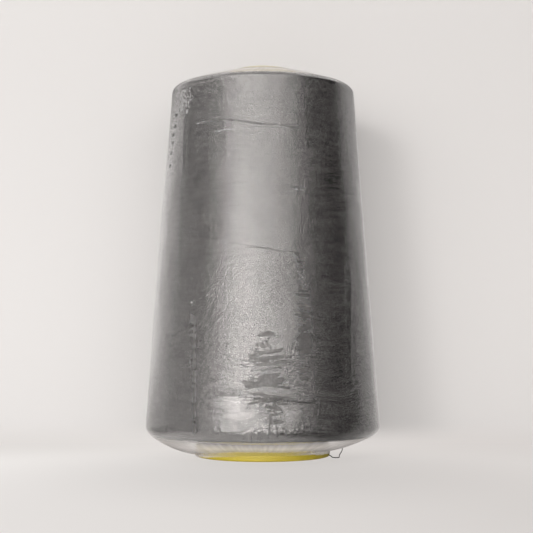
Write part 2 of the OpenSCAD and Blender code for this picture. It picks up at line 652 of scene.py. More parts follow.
@dataclass(frozen=True)
class ThreadFinish:
    """Spun polyester, charcoal grey, matt with a faint sheen."""

    # The colour darkens where the thread lies deep: painted shade between the strands, mixed with
    # uneven fibre tone.
    dark: Colour = (0.001, 0.001, 0.001)
    light: Colour = (0.042, 0.040, 0.039)
    deep_roughness: float = 0.88
    top_roughness: float = 0.68
    sheen: float = 0.05
    strand_depth: float = 0.10 * MM
    fibre_depth: float = 0.02 * MM

    def wound(self, groups: Groups) -> bpy.types.Material:
        """The thread as it lies on the package.

        Args:
            groups: the shader groups.

        Returns:
            The material.
        """
        material, w = surface("thread_wound")
        fine = placed(w, groups.winding, Strand=22.0, Length=900.0)
        bundles = placed(w, groups.winding, **BUNDLES)
        fuzz = placed(w, groups.fibre, Fineness=1300.0)
        # The colour follows the relief: painted shade where the thread lies deep, and uneven fibre
        # tone.
        strands = w.add(w.mul(fine["Tone"], 0.3), w.mul(bundles["Tone"], 0.12))
        tone = w.fade(w.add(strands, w.mul(fuzz["Tone"], 0.8)), 0.42, 0.8)
        relief = w.add(w.mul(fine["Height"], 0.35), w.mul(fuzz["Height"], 0.65))
        return self._shaded(material, w, tone, w.bump(relief, self.strand_depth))

    def loose(self, groups: Groups) -> bpy.types.Material:
        """The thread where it lies by itself.

        Args:
            groups: the shader groups.

        Returns:
            The material.
        """
        material, w = surface("thread_loose")
        fibre = placed(w, groups.fibre, Fineness=9000.0)
        return self._shaded(material, w, fibre["Tone"], w.bump(fibre["Height"], self.fibre_depth))

    def _shaded(
        self, material: bpy.types.Material, w: Wiring, tone: Socket, normal: Socket
    ) -> bpy.types.Material:
        """Gives the material its shader.

        Args:
            material: the material.
            w: its wiring.
            tone: 0 where the thread lies deep, 1 where it stands out; darker where deep as painted
                shade.
            normal: the thread's normal.

        Returns:
            The same material.
        """
        inputs = {
            "Base Color": w.blend(tone, self.dark, self.light),
            "Roughness": w.span(tone, 0.0, 1.0, self.deep_roughness, self.top_roughness),
            "Sheen Weight": self.sheen,
            "Sheen Roughness": 0.4,
            "Specular IOR Level": 0.15,
            "Normal": normal,
        }
        return coated(material, w, inputs)


@dataclass(frozen=True)
class PlasticFinish:
    """Moulded yellow polypropylene with a soft gloss."""

    colour: Colour = (0.43, 0.345, 0.022)
    worn: Colour = (0.50, 0.42, 0.075)
    roughness: float = 0.27
    grain_depth: float = 0.03 * MM

    def material(self) -> bpy.types.Material:
        """The plastic, with faint flow marks, scuffs and a fine moulded grain.

        Returns:
            The material.
        """
        material, w = surface("cone_plastic")
        place = w.on_piece()
        flow = w.noise(place, 60.0, 3.0)
        grain = w.noise(place, 1500.0, 2.0)
        scuffs = w.fade(w.noise(place, 420.0, 4.0), 0.56, 0.72)
        colour = w.blend(w.mul(flow, 0.25), self.colour, self.worn)
        inputs = {
            "Base Color": w.blend(w.mul(scuffs, 0.35), colour, self.worn),
            "Roughness": w.add(w.mul(grain, 0.14), self.roughness, w.mul(scuffs, 0.12)),
            "Subsurface Weight": 0.15,
            "Subsurface Radius": (1.0, 0.7, 0.15),
            "Subsurface Scale": 1.2 * MM,
            "Normal": w.bump(grain, self.grain_depth),
        }
        return coated(material, w, inputs)


@dataclass(frozen=True)
class TautFilmFinish:
    """Clear glossy shrink film, pulled smooth over the thread. Depths are in millimetres."""

    tint: Colour = (0.97, 0.97, 0.97)
    roughness: float = 0.06
    cling_roughness: float = 0.10
    contact_roughness: float = 0.2
    # Where the film touches the thread or has painted shade along folds, it keeps this share of its
    # gloss.
    contact_and_shade_cover: float = 0.6
    dent_shade_cover: float = 0.35
    speckle_cover: float = 0.12
    print_depth: float = 0.03
    grain_depth: float = 0.11
    crinkle_depth: float = 0.12
    pleats: float = 42.0
    pleat_depth: float = 0.09
    fan_middle: float = 0.48
    fan_contrast: float = 4.5

    def material(self, groups: Groups) -> bpy.types.Material:
        """The film. Where it clings to the thread, the winding prints through it.

        Args:
            groups: the shader groups.

        Returns:
            The material.
        """
        material, w = surface("film_taut")
        place = w.on_piece()
        cling, contact_and_shade, pleat, crinkle = map(w.painted, ("cling", "contact_and_shade", "pleat", "crinkle"))
        thread = placed(w, groups.winding, Strand=11.0, Length=500.0)
        bundles = placed(w, groups.winding, **BUNDLES)
        gather = placed(w, groups.gather, Pleats=self.pleats)
        # The film touches the thread, or carries painted shade along folds and at dents, where
        # near, made ragged by streaks and specks, is over a half.
        fan = w.mul(w.sub(gather["Height"], self.fan_middle), self.fan_contrast)
        near = w.add(contact_and_shade, w.mul(pleat, fan), w.mul(crinkle, 0.5))
        streaks = w.mul(w.sub(bundles["Height"], 0.5), 1.5)
        busy = w.add(w.mul(crinkle, 2.4), 0.8)
        specks = w.mul(w.sub(w.noise(place, 1000.0, 2.0), 0.5), busy)
        beside = w.math("MINIMUM", w.mul(near, 4.0), w.sub(1.0, pleat))
        ragged = w.add(near, w.mul(w.add(streaks, specks), beside))
        touch = w.fade(ragged, 0.5, 0.6)
        # Fine grain on the gloss, hardly any where the film stands off the thread.
        grain, speckle = (
            w.span(cling, 0.1, 0.5, 0.02, most) for most in (self.grain_depth, self.speckle_cover)
        )
        stuck = w.span(touch, 0.0, 1.0, 1.0, self.contact_and_shade_cover)
        # Painted shade at the dents: there the film keeps little of its gloss.
        dent_shaded = w.span(near, 1.0, 1.4, 1.0, self.dent_shade_cover)
        speckled = w.span(w.noise(place, 1500.0, 1.0), 0.4, 0.68, 0.0, speckle)
        print_through = w.add(thread["Height"], w.mul(bundles["Height"], 0.8))
        pressed = w.mul(w.add(cling, w.mul(touch, 0.15)), self.print_depth)
        height = w.add(
            w.mul(print_through, pressed),
            w.mul(w.noise(place, 1400.0, 2.0), crinkle, self.crinkle_depth),
            w.mul(gather["Height"], pleat, self.pleat_depth),
            w.mul(w.noise(place, 1300.0, 1.5), grain),
        )
        clinging = w.add(w.mul(cling, self.cling_roughness), self.roughness)
        inputs = {
            "Base Color": (*self.tint, 1.0),
            "Transmission Weight": 1.0,
            "IOR": 1.5,
            "Roughness": w.add(clinging, w.mul(touch, self.contact_roughness)),
            "Alpha": w.sub(w.mul(stuck, dent_shaded), speckled),
            "Normal": w.bump(height, MM),
        }
        return coated(material, w, inputs)


@dataclass(frozen=True)
class GatheredFilmFinish:
    """Shrink film where it has gathered towards an end: milky, in fine pleats, and still thin."""

    name: str
    tint: Colour = (0.98, 0.95, 0.93)
    roughness: float = 0.28
    pleats: float = 26.0
    pleat_depth: float = 0.05 * MM
    haze_across: float = 0.6
    haze_along: float = 1.1
    gloss: float = 0.02

    def material(self, groups: Groups) -> bpy.types.Material:
        """The film, whose haze is painted on it and thickens where it is looked at edge-on.

        Args:
            groups: the shader groups.

        Returns:
            The material.
        """
        material, w = surface(self.name)
        gather = placed(w, groups.gather, Pleats=self.pleats)
        edge_on = w.node("LayerWeight", {"Blend": 0.5}).outputs["Facing"]
        gain = w.add(w.mul(edge_on, self.haze_along), self.haze_across)
        cover = w.mul(w.painted("haze"), gain, gather["Haze"])
        inputs = {
            "Base Color": (*self.tint, 1.0),
            "Roughness": self.roughness,
            "Specular IOR Level": self.gloss,
            "Alpha": w.math("MINIMUM", cover, 0.97),
            "Normal": w.bump(gather["Height"], self.pleat_depth),
        }
        return coated(material, w, inputs)


# ---- The cone and its thread ----


@dataclass
class PlasticCone:
    """The moulded cone. Its solid keeps its shape and gets its finish here."""

    finish: PlasticFinish

    def dress(self) -> bpy.types.Object:
        """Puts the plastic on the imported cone.

        Returns:
            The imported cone.
        """
        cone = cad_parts["cone_core"]
        cone.data.materials.clear()
        cone.data.materials.append(self.finish.material())
        return cone


@dataclass
class ThreadPackage:
    """The cross-wound thread on the cone."""

    finish: ThreadFinish
    line: TautLine
    sunk: float = 0.14
    pitch: float = 33.5
    bundles: int = 14
    beat: float = 1.618
    bundle_height: float = 0.07
    columns: int = 300
    row_gap: float = 0.45
    core_gap: float = 6.0

    def build(self, groups: Groups) -> bpy.types.Object:
        """Winds the package, with the crossing bundles of thread as relief.

        Args:
            groups: the shader groups.

        Returns:
            The new piece.
        """
        skin = self.line.points(self.row_gap)
        skin = skin - outward(skin) * self.sunk
        core = refined(skin[[-1, 0]], self.core_gap)[1:-1]
        normal = outward(skin)
        bearings = np.linspace(-math.pi, math.pi, self.columns, endpoint=False)
        climb = skin[:, 1] - END_CLIMB * skin[:, 0]
        relief = self._relief(bearings[None, :], climb[:, None])
        radius = skin[:, :1] + normal[:, :1] * relief
        height = skin[:, 1:] + normal[:, 1:] * relief
        wide = np.ones((1, self.columns))
        radius = np.concatenate([radius, core[:, :1] * wide])
        height = np.concatenate([height, core[:, 1:] * wide])
        piece = revolved("wound_thread", radius, height, bearings)
        piece.data.materials.append(self.finish.wound(groups))
        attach(piece, BODY)
        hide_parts("thread_package")
        return piece

    def _relief(self, bearing: np.ndarray, climb: np.ndarray) -> np.ndarray:
        """How far the bundles of thread stand out.

        Args:
            bearing: bearings in radians.
            climb: distances up the package in millimetres.

        Returns:
            The relief in millimetres.
        """
        lead = 2 * math.pi * climb / self.pitch
        upper = np.sin(3 * bearing + 0.7 * lead) + np.sin(2 * bearing - 1.3 * lead + 1.0)
        ways = []
        for sign in (1, -1):
            turn = self.bundles * (bearing + sign * lead)
            beat = self.beat * self.bundles * sign * lead + 2 * bearing
            ways.append(0.6 * np.cos(turn) + 0.4 * np.cos(beat) + sign * 0.4 * upper)
        return self.bundle_height * np.maximum(*ways) / 2


@dataclass
class LooseThread:
    """The first turns of the thread in their groove, and its free end."""

    finish: ThreadFinish
    thickness: float = 0.3
    turns: int = 5
    first_layer: float = 3.0
    turns_low: Roller = Roller(20.36, 4.16)
    lay: float = 1.1
    sides: int = 8
    exit: tuple[float, float, float] = (20.15, -4.25, 4.0)
    floor: float = 0.17
    route_gap: float = 1.2
    route_fewest: int = 3

    def route(self) -> tuple[tuple[float, float, float], ...]:
        """Points of the free end, from the turns down the slot and out on the floor.

        Returns:
            The points in millimetres.
        """
        low = self.floor
        return (
            self.exit,
            (20.25, -4.3, 2.8),
            (20.4, -4.35, 1.7),
            (20.8, -4.45, 0.8),
            (21.5, -4.8, 0.35),
            (21.9, -5.8, 0.22),
            (21.9, -7.3, low),
            (22.2, -8.5, low),
            (22.8, -9.2, low),
            (23.6, -9.1, low),
            (24.1, -8.2, low),
            (24.3, -6.2, low),
            (24.6, -2.0, low),
            (25.3, 4.0, low),
            (26.2, 11.0, low),
            (26.9, 18.0, low),
            (27.2, 21.7, low),
        )

    def build_tail(self, groups: Groups) -> bpy.types.Object:
        """Lays the free end.

        Args:
            groups: the shader groups.

        Returns:
            The new piece.
        """
        path = smooth_route(self.route(), self.route_gap, self.route_fewest) * MM
        tail = strand("loose_end", path, self.thickness * MM, self.sides, self.lay * MM)
        tail.data.materials.append(self.finish.loose(groups))
        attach(tail, BODY)
        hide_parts("thread_tail")
        return tail

    def build_turns(self, groups: Groups) -> bpy.types.Object:
        """Winds the first turns side by side in the groove, and the last ones over them.

        Args:
            groups: the shader groups.

        Returns:
            The new piece.
        """
        step = math.radians(2.5)
        along = np.arange(0, self.turns * 2 * math.pi, step)
        turn = along / (2 * math.pi)
        later = turn - self.first_layer
        layer = eased(later + 0.5)
        height = np.where(later < 0, turn, self.first_layer + 0.35 - later * 0.9)
        wander = 0.05 * np.sin(3.1 * along) + 0.04 * np.sin(7.7 * along + 1.0)
        radius = self.turns_low.r + layer * self.thickness * 0.85 + 0.4 * wander
        z = self.turns_low.z + height * self.thickness * 0.8 + wander
        path = np.stack([radius * np.cos(along), radius * np.sin(along), z], axis=1) * MM
        bunch = strand("first_turns", path, self.thickness * MM, self.sides, self.lay * MM)
        bunch.data.materials.append(self.finish.loose(groups))
        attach(bunch, BODY)
        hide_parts("tail_turns")
        return bunch


# ---- The shrink film ----


@dataclass(frozen=True)
class Crease:
    """A fold of the film along a line on the package. A negative height is a valley."""

    spots: tuple[Spot, ...]
    width: float
    height: float

    def relief(self, bearing: np.ndarray, z: np.ndarray, r: np.ndarray) -> np.ndarray:
        """How far the crease lifts the film.

        Args:
            bearing: bearings in degrees.
            z: heights in millimetres.
            r: radii in millimetres at those heights.

        Returns:
            The lift in millimetres.
        """
        nearest = np.full(np.broadcast(bearing, z).shape, np.inf)
        arc = np.radians(1.0) * r
        for (b0, z0), (b1, z1) in zip(self.spots[:-1], self.spots[1:]):
            du, dv = (b1 - b0) * arc, z1 - z0
            u, v = wrapped(bearing - b0) * arc, z - z0
            t = np.clip((u * du + v * dv) / (du * du + dv * dv), 0, 1)
            nearest = np.minimum(nearest, np.hypot(u - t * du, v - t * dv))
        return self.height * bell(nearest, self.width)


@dataclass(frozen=True)
class Patch:
    """An oval of the film that differs from the rest."""

    spot: Spot
    wide: float
    tall: float
    share: float = 1.0

    def cover(self, bearing: np.ndarray, z: np.ndarray, r: np.ndarray) -> np.ndarray:
        """How much of the patch there is at each place.

        Args:
            bearing: bearings in degrees.
            z: heights in millimetres.
            r: radii in millimetres at those heights.

        Returns:
            The cover, from 0 to the patch's share.
        """
        u = wrapped(bearing - self.spot[0]) * np.radians(1.0) * r
        away = np.hypot(u / self.wide, (z - self.spot[1]) / self.tall)
        return self.share * eased(1.6 - away)


class FilmZone(Enum):
    """The stretches of the film. Each has its own finish."""

    FOOT = 0
    BODY = 1
    HEAD = 2


@dataclass
class ShrinkFilm:
    """The clear film, from its hem on the ring to its mouth round the nose hole."""

    finishes: dict[FilmZone, TautFilmFinish | GatheredFilmFinish]
    line: TautLine
    thickness: float = 0.03
    gap: float = 0.06
    row_gap: float = 0.85
    side_row_gap: float = 0.5
    column_runs: tuple[tuple[float, int], ...] = ((-76, 60), (-30, 120), (30, 44), (70, 66))
    seed: int = 11
    sag: float = 1.0
    foot_pleat: float = 0.12
    head_pleat: float = 0.1
    low_side: float = -85.0
    low_side_drop: float = 1.5
    pale_side: float = 72.0
    # Dents, drawn only as painted shade: dark spots where the film loses its gloss.
    dent_shade_spots: tuple[Spot, ...] = (
        (-64, 108.5),
        (-64.4, 105),
        (-66.8, 102.3),
        (-66.6, 99.7),
        (-68, 96.6),
        (-68, 92.4),
    )
    fan: tuple[float, ...] = (-23, -19.5, -17, -13.5, -11, -8, -4, -1.5, 4, 9, 14.5, 19, 24)
    foot_haze: tuple[tuple[float, float], ...] = (
        (0.0, 0.0),
        (0.30, 0.01),
        (0.40, 0.03),
        (0.51, 0.20),
        (0.65, 0.32),
        (0.77, 0.26),
        (0.86, 0.15),
    )
    head_haze: float = 0.4
    hem_low: float = 0.04
    hem: tuple[Spot, ...] = (
        (-180, 1.3),
        (-125, 0.7),
        (-80, 0.06),
        (-55, 0.35),
        (-28, 1.5),
        (0, 2.1),
        (30, 1.8),
        (62, 1.2),
        (95, 0.9),
        (140, 1.1),
        (180, 1.3),
    )

    def creases(self) -> list[Crease]:
        """The folds on the side of the package.

        Returns:
            The folds, those in front first.
        """
        folds = [
            Crease(((-54, 106), (-49, 83)), 0.9, 0.04),
            Crease(((-46, 105), (-43, 83)), 0.8, -0.04),
            Crease(((-50, 68), (-47, 49)), 0.8, 0.05),
            Crease(((19, 56.3), (21, 48), (22.5, 39.4)), 1.0, -0.06),
            Crease(((-21, 22.1), (-5, 21.0), (13.5, 19.5), (23, 19.0)), 0.55, 0.08),
            Crease(((46.6, 58.7), (44, 40), (42, 21.2)), 0.7, 0.1),
            Crease(((52.8, 58.9), (49, 40), (46.2, 21.1)), 0.7, 0.09),
            Crease(((-90, 80), (-92, 60), (-90, 45)), 12.0, 0.25),
        ]
        ripples = np.arange(26.5, 48, 3.1)
        folds += [Crease(((-21, z - 0.6), (-13, z), (-5, z + 0.5)), 0.8, 0.035) for z in ripples]
        folds += [Crease(((b, 12.0), (0.82 * b, 7.0)), 0.4, 0.05) for b in self.fan]
        return folds + self._chance_creases()

    def _chance_creases(self) -> list[Crease]:
        """Shallow, nearly upright folds over the rest of the side, the same on every run.

        Returns:
            The folds.
        """
        chance = np.random.default_rng(self.seed)
        folds = []
        for bearing in np.arange(72, 290, 7.5):
            start = bearing + chance.uniform(-3, 3)
            low = chance.uniform(10, 80)
            high = low + chance.uniform(12, 35)
            lean = chance.uniform(-4, 4)
            size = chance.uniform(0.05, 0.12) * chance.choice([-1, 1])
            spots = ((start, low), (start + lean, min(high, 112)))
            folds.append(Crease(spots, chance.uniform(1.2, 2.2), size))
        return folds

    def patches(self) -> list[Patch]:
        """Where the film sticks flat to the thread and loses its gloss, and the dents, drawn as
        painted shade.

        Returns:
            The patches.
        """
        return [
            Patch((1.0, 39.3), 3.0, 0.9, 0.35),
            Patch((4.5, 38.3), 4.0, 0.9, 0.3),
            Patch((-0.2, 36.5), 2.6, 0.8, 0.3),
            Patch((1.7, 34.1), 5.4, 1.0, 0.35),
            Patch((1.7, 31.4), 6.0, 1.8, 0.4),
            Patch((-0.2, 28.0), 2.4, 0.9, 0.3),
            Patch((7.2, 28.5), 2.0, 0.9, 0.3),
            Patch((4.4, 25.9), 3.6, 1.2, 0.35),
            Patch((0.3, 24.2), 6.0, 1.8, 0.4),
            Patch((3.9, 18.7), 7.0, 1.7, 0.45),
            Patch((6.0, 12.0), 4.2, 4.2, 0.42),
            Patch((-5.0, 11.0), 1.4, 2.4, 0.3),
            Patch((19.5, 37.6), 2.2, 1.2, 0.35),
            Patch((19.5, 34.7), 2.2, 1.6, 0.35),
            Patch((19.5, 28.5), 2.2, 1.2, 0.35),
            Patch((19.5, 25.3), 2.2, 1.0, 0.35),
            Patch((19.6, 15.6), 1.7, 1.2, 0.5),
            Patch((3.0, 27.0), 7.5, 12.0, 0.26),
            Patch((20.0, 46.0), 3.0, 15.0, 0.42),
            Patch((21.0, 62.0), 2.0, 60.0, 0.16),
            *(Patch(spot, 1.3, 0.7, 2.0) for spot in self.dent_shade_spots),
        ]

    def painted_shade_lines(self) -> list[Crease]:
        """Dark lines along folds, as painted shade: the film is made to stick there and lose its
        gloss.

        Returns:
            The folds.
        """
        return [
            Crease(((-42, 104.0), (-27, 104.4), (-11, 103.1), (-1, 102.1), (20, 101.4)), 0.5, 0.64),
            Crease(((-30, 100.4), (-14, 101.0), (2, 100.0)), 0.5, 0.5),
            Crease(((-4, 82.1), (24, 82.5)), 0.5, 0.44),
            Crease(((-22, 66.6), (-10, 65.5), (2, 64.0), (18, 62.6)), 0.5, 0.6),
            Crease(((-21, 22.6), (-5, 21.5), (13.5, 20.0), (23, 19.5)), 0.45, 0.55),
            Crease(((-35.7, 44.2), (-34, 26), (-32.2, 8.7)), 0.7, 0.85),
            Crease(((-38.5, 60), (-37.5, 44), (-37, 30)), 0.5, 0.4),
        ]

    def clear_patches(self) -> list[Patch]:
        """Where the film stands off the thread, so that nothing prints through it.

        Returns:
            The patches.
        """
        return [
            Patch((-14.0, 18.6), 5.5, 2.4, 0.5),
            Patch((-10.0, 15.2), 5.0, 2.4, 0.5),
            Patch((0.0, 13.0), 15.0, 7.0, 0.34),
            Patch((-6.0, 34.0), 9.0, 14.0, 0.12),
            Patch((-46.0, 96.0), 2.5, 18.0, 0.4),
        ]

    def crinkles(self) -> list[Patch]:
        """Where the film is crumpled.

        Returns:
            The patches.
        """
        return [
            Patch((-54.0, 112.5), 4.2, 4.5),
            Patch((45.0, 40.0), 2.0, 19.0, 0.2),
            Patch((-50.0, 40.0), 2.4, 24.0, 0.12),
        ]

    def build(self, groups: Groups) -> bpy.types.Object:
        """Shrinks the film on.

        Args:
            groups: the shader groups.

        Returns:
            The new piece.
        """
        line = self._rows()
        normal = outward(line)
        bearings = self._bearings()
        degrees = np.degrees(bearings)[None, :]
        z, r = line[:, 1:], line[:, :1]
        ring = line[:, 0] <= self.line.rollers[0].r + 1e-6
        ring_top = line[ring, 1].max()
        lift = self.gap + self._relief(line, degrees)
        hem = self._hem(degrees)
        drop = self._drop(line, degrees)
        shells = []
        for offset in (lift + self.thickness, lift):
            radius = r + normal[:, :1] * offset
            height = z + normal[:, 1:] * offset - drop
            top = np.maximum(ring_top - drop[ring], hem + 0.2)
            height[ring] = hem + line[ring, 1:] / ring_top * (top - hem)
            shells.append((radius, height))
        (outer_r, outer_z), (inner_r, inner_z) = shells
        radius = np.concatenate([outer_r, inner_r[::-1]])
        height = np.concatenate([outer_z, inner_z[::-1]])
        piece = revolved("film_sleeve", radius, height, bearings)
        self._paint(piece, line, degrees)
        for zone in FilmZone:
            piece.data.materials.append(self.finishes[zone].material(groups))
        piece.visible_shadow = False
        piece.visible_diffuse = False
        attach(piece, BODY)
        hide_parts("shrink_film")
        return piece

    def _rows(self) -> np.ndarray:
        """The film's line, with its points closer together on the side of the package.

        Returns:
            (radius, height) rows in millimetres.
        """
        line = self.line.points(self.row_gap)
        on_side = line[:, 0] > self.line.rollers[3].r + 0.2
        first, last = np.argmax(on_side), len(line) - np.argmax(on_side[::-1])
        side = refined(line[first:last], self.side_row_gap)
        return np.concatenate([line[:first], side, line[last:]])

    def _bearings(self) -> np.ndarray:
        """The columns' bearings, closer together on the front.

        Returns:
            The bearings in radians.
        """
        starts = [start for start, _ in self.column_runs]
        ends = [*starts[1:], starts[0] + 360]
        runs = [
            np.linspace(start, end, columns, endpoint=False)
            for start, end, (_, columns) in zip(starts, ends, self.column_runs)
        ]
        return np.radians(np.concatenate(runs))

    def _hem(self, degrees: np.ndarray) -> np.ndarray:
        """The height of the film's lower edge.

        Args:
            degrees: bearings in degrees.

        Returns:
            Heights in millimetres.
        """
        base = np.interp(wrapped(degrees), *zip(*self.hem))
        turn = np.radians(degrees)
        nicks = 0.06 * np.sin(17 * turn + 1) + 0.05 * np.sin(41 * turn)
        return np.maximum(base + nicks + 0.03 * np.sin(73 * turn + 2), self.hem_low)

    def _drop(self, line: np.ndarray, degrees: np.ndarray) -> np.ndarray:
        """How far the collar hangs lower than the line, most of it on its low side.

        Args:
            line: the film's line.
            degrees: bearings in degrees, one a column.

        Returns:
            The drop in millimetres, one row for each point of the line.
        """
        along = run_length(line)[:, None]
        start, _ = self._side(line)
        away = wrapped(degrees - self.low_side)
        to_package = np.clip(along / (start - 1.0), 0, 1)
        fade = 1 - to_package**3
        sag = self.sag * np.sin(math.pi * to_package**0.8) * (to_package < 1)
        uneven = 1 + 0.1 * np.sin(np.radians(7 * degrees))
        return self.low_side_drop * bell(away, 50.0) * fade + sag * uneven

    def _side(self, line: np.ndarray) -> tuple[float, float]:
        """Where the side of the package starts and ends.

        Args:
            line: the film's line.

        Returns:
            The two lengths along the line, in millimetres.
        """
        along = run_length(line)
        _, _, foot, head, *_ = self.line.rollers
        start = along[np.argmax(line[:, 0] > foot.r + foot.radius - 0.4)]
        end = along[np.argmax(line[:, 1] > head.z)]
        return float(start), float(end)

    def _relief(self, line: np.ndarray, degrees: np.ndarray) -> np.ndarray:
        """How far the film stands off what it is shrunk on.

        Args:
            line: the film's line.
            degrees: bearings in degrees, one a column.

        Returns:
            The relief in millimetres, one row for each point of the line.
        """
        z, r = line[:, 1:], line[:, :1]
        turn = np.radians(degrees)
        along = run_length(line)[:, None]
        start, end = self._side(line)
        on_side = np.clip(np.minimum(along - start, end - along) / 2.0, 0, 1)
        side = 0.022 * np.sin(5 * turn + z / 9) + 0.018 * np.sin(11 * turn - z / 5)
        side = side + 0.012 * np.sin(23 * turn + 2.0 * np.sin(z / 13) + z / 7)
        for crease in self.creases():
            side = side + crease.relief(degrees, z, r)
        relief = on_side * np.maximum(side, -self.gap)
        foot = self._pleats(turn, (29, 47, 71))
        foot_share = bell(along - (start - 7.0), 6.5) * (along > 3.0)
        head = self._pleats(turn, (19, 34, 55))
        head_share = bell(along - (end + 9.0), 5.0)
        gathered = self.foot_pleat * foot_share * foot + self.head_pleat * head_share * head
        return relief + gathered

    @staticmethod
    def _pleats(turn: np.ndarray, counts: tuple[int, ...]) -> np.ndarray:
        """Uneven pleats round the axis, from 0 to 1.

        Args:
            turn: bearings in radians.
            counts: how many pleats each of the three mixed waves has.

        Returns:
            The pleats' height.
        """
        drift = 0.5 * np.sin(3 * turn + 0.4) + 0.3 * np.sin(5 * turn + 2.0)
        shares = zip(counts, (0.5, 0.3, 0.2))
        waves = [share * np.sin(count * turn + 3 * drift) for count, share in shares]
        return 0.5 + 0.5 * sum(waves)

    def _paint(self, piece: bpy.types.Object, line: np.ndarray, degrees: np.ndarray) -> None:
        """Stores where the film clings and is hazy, and gives each face its zone's finish.

        Args:
            piece: the film.
            line: the film's line.
            degrees: bearings in degrees, one a column.
        """
        z, r = line[:, 1:], line[:, :1]
        turn = np.radians(degrees)
        along = run_length(line)[:, None]
        start, end = self._side(line)
        on_side = np.clip(np.minimum(along - start, end - along) / 1.5, 0, 1)
        cling = 0.55 + 0.16 * np.sin(4 * turn + z / 11) + 0.12 * np.sin(9 * turn - z / 4.3)
        # Real contact patches, plus the painted shade of dents and folds.
        contact_and_shade = sum(patch.cover(degrees, z, r) for patch in self.patches())
        # Painted shade: dark lines along folds, where the film is made to lose its gloss.
        contact_and_shade = contact_and_shade + sum(fold.relief(degrees, z, r) for fold in self.painted_shade_lines())
        clear = self._most(self.clear_patches(), line, degrees)
        crinkle = self._most(self.crinkles(), line, degrees)
        shares = {
            "cling": np.clip(cling - clear, 0, 1) * on_side,
            "contact_and_shade": contact_and_shade * on_side,
            "crinkle": crinkle * on_side,
            "pleat": self._pleated(degrees, z),
            "haze": self._haze(line, degrees),
        }
        for name, share in shares.items():
            painted = piece.data.attributes.new(name, "FLOAT", "POINT")
            painted.data.foreach_set("value", np.concatenate([share, share[::-1]]).reshape(-1))
        _, _, foot, head, *_ = self.line.rollers
        foot_turn = start - 0.7 * foot.radius
        head_turn = end + 0.8 * head.radius
        zones = np.select(
            [along[:, 0] < foot_turn, along[:, 0] > head_turn],
            [FilmZone.FOOT.value, FilmZone.HEAD.value],
            FilmZone.BODY.value,
        )
        rows = np.concatenate([zones, zones[::-1]])
        piece.data.polygons.foreach_set("material_index", np.repeat(rows, degrees.size))

    @staticmethod
    def _pleated(degrees: np.ndarray, z: np.ndarray) -> np.ndarray:
        """How far the foot's fine pleats reach up the side: highest in front, as an uneven fan.

        Args:
            degrees: bearings in degrees, one a column.
            z: heights in millimetres, one a row.

        Returns:
            The share of pleats, from 0 to 1 and a little over.
        """
        front = bell(wrapped(degrees), 26.0)
        turn = np.radians(degrees)
        reach = 1.5 + 3.6 * front + 0.9 * front * np.sin(31 * turn) + 0.4 * np.sin(13 * turn + 1)
        return front * np.clip(1.3 - (z - 7.0) / reach, 0, 1)

    @staticmethod
    def _most(patches: Sequence[Patch], line: np.ndarray, degrees: np.ndarray) -> np.ndarray:
        """The largest cover of several patches at each place.

        Args:
            patches: the patches.
            line: the film's line.
            degrees: bearings in degrees, one a column.

        Returns:
            The cover, one row for each point of the line.
        """
        most = np.zeros((len(line), degrees.size))
        for patch in patches:
            most = np.maximum(most, patch.cover(degrees, line[:, 1:], line[:, :1]))
        return most

    def _haze(self, line: np.ndarray, degrees: np.ndarray) -> np.ndarray:
        """How milky the film is: much where it has gathered, hardly where it hugs the cone.

        Args:
            line: the film's line.
            degrees: bearings in degrees, one a column.

        Returns:
            The haze, one row for each point of the line.
        """
        along = run_length(line)[:, None]
        start, end = self._side(line)
        low = np.interp(along / start, *zip(*self.foot_haze))
        low = low + 0.22 * bell(wrapped(degrees - self.low_side), 42.0)
        low = low + 0.42 * bell(wrapped(degrees - self.pale_side), 30.0)
        r = line[:, :1]
        off_nose = np.clip((r - 12.3) / 1.5, 0, 1)
        high = 0.02 + self.head_haze * off_nose * np.interp(r, (16.0, 21.0, 28.5), (1.0, 1.5, 0.7))
        return np.where(along < (start + end) / 2, low, high)


# ---- The studio ----

LAMP_COLOUR = (1.0, 0.955, 0.925)
# How bright the softbox is at each bearing, as shares of its brightest.
SOFTBOX_FALL = (
    (-62.0, 0.12),
    (-50.0, 0.20),
    (-40.0, 0.43),
    (-28.5, 0.86),
    (-16.0, 0.93),
    (-2.0, 0.75),
    (14.0, 0.575),
    (28.0, 0.375),
    (34.6, 0.285),
    (36.0, 0.15),
    (50.0, 0.125),
)


def area_lamp(name: str, shape: str, energy: float) -> bpy.types.Object:
    """Makes an area lamp that the camera doesn't see.

    Args:
        name: the lamp's name.
        shape: its shape, as the lamp's own setting names it.
        energy: its power in watts.

    Returns:
        The lamp, linked to the scene.
    """
    data = bpy.data.lights.new(name, "AREA")
    data.shape, data.energy, data.color = shape, energy, LAMP_COLOUR
    lamp = bpy.data.objects.new(name, data)
    lamp.visible_camera = False
    bpy.context.scene.collection.objects.link(lamp)
    return lamp


